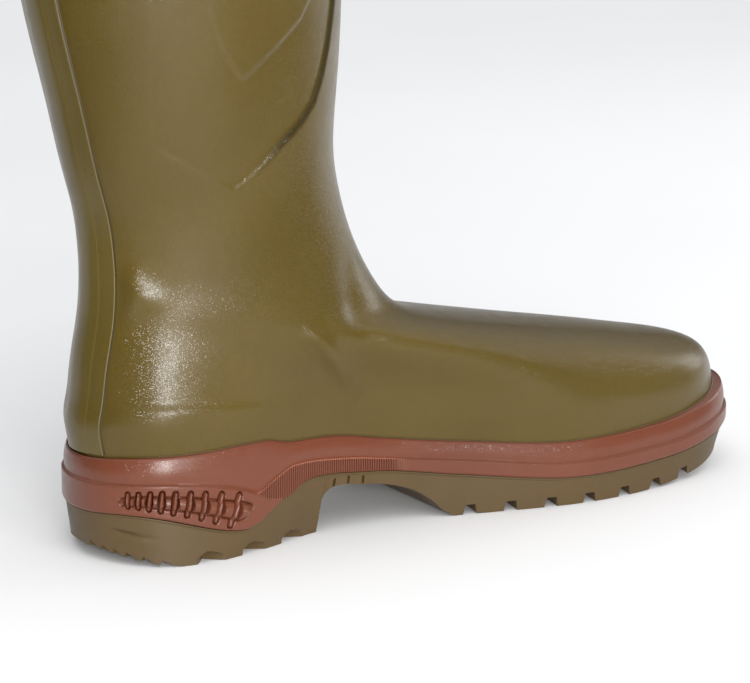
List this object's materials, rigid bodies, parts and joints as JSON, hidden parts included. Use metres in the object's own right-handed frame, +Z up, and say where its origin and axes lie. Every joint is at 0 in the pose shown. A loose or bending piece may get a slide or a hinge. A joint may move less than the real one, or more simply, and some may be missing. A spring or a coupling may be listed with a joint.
{
  "type": "rubber boot",
  "caption": "Tall pull-on rubber boot for the left foot in olive, with a brown midsole band, a ribbed heel panel, a raised back stay and a lugged outsole.",
  "frame": {"origin": "bottom centre of the boot's bounding box, on the floor plane that heel and forefoot stand on", "axes": "+Z up the shaft, +Y towards the toe, +X towards the medial (inner) side of the left foot"},
  "size_m": [0.1212, 0.3357, 0.399],
  "materials": {
    "upper_rubber": "satin olive rubber with a fine pebble grain",
    "band_rubber": "satin brown rubber",
    "outsole_rubber": "dull olive rubber",
    "insole_felt": "grey felt"
  },
  "bodies": {
    "root": {"upper": "upper_rubber", "back_stay": "upper_rubber", "midsole_band": "band_rubber", "outsole": "outsole_rubber", "insole": "insole_felt"}
  },
  "joints": []
}
